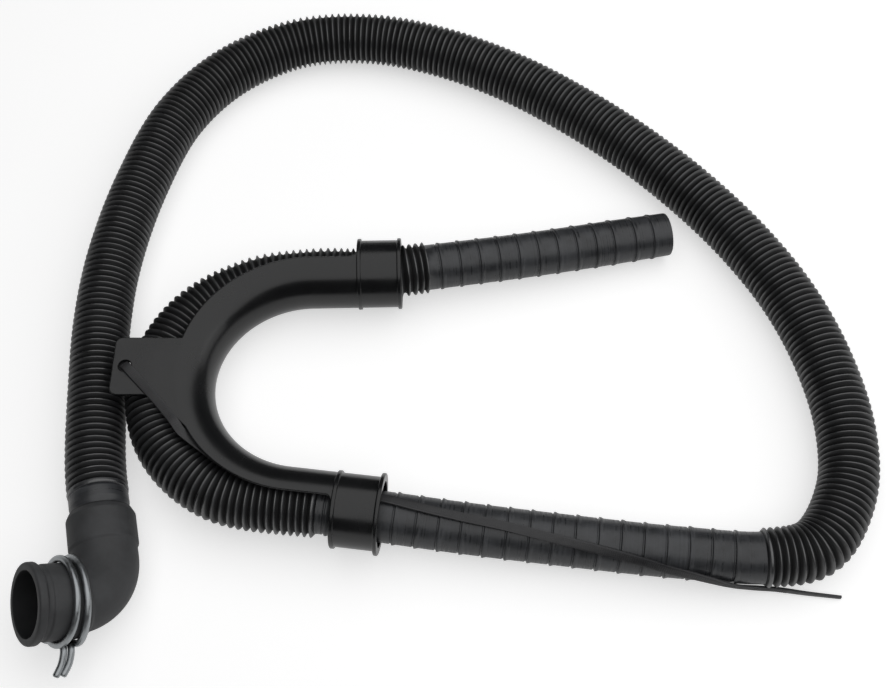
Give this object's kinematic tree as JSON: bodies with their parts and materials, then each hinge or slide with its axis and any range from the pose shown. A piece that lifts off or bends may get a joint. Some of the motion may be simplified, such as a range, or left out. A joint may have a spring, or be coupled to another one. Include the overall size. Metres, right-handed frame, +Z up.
{
  "type": "washing machine drain hose",
  "caption": "Corrugated washing machine drain hose with ribbed cuffs, a rubber elbow and spring clamp at one end, and a moulded U-bend holder near the outlet.",
  "frame": {"origin": "centre of the bounding box, on the floor that the hose lies on", "axes": "+X along the outlet cuff, away from the bend of the holder; +Y from the elbow towards the top of the loose loop; +Z up from the floor"},
  "size_m": [0.4473, 0.4351, 0.0581],
  "materials": {
    "hose": "satin black polypropylene, corrugated",
    "holder": "moulded black polypropylene with a low gloss",
    "elbow": "matt dark grey moulded rubber",
    "clamp": "bright zinc plated spring wire",
    "tie": "black nylon strap"
  },
  "bodies": {
    "root": {"hose": "hose", "u_bend_holder": "holder", "elbow": "elbow", "spring_clamp": "clamp", "cable_tie": "tie"}
  },
  "joints": []
}
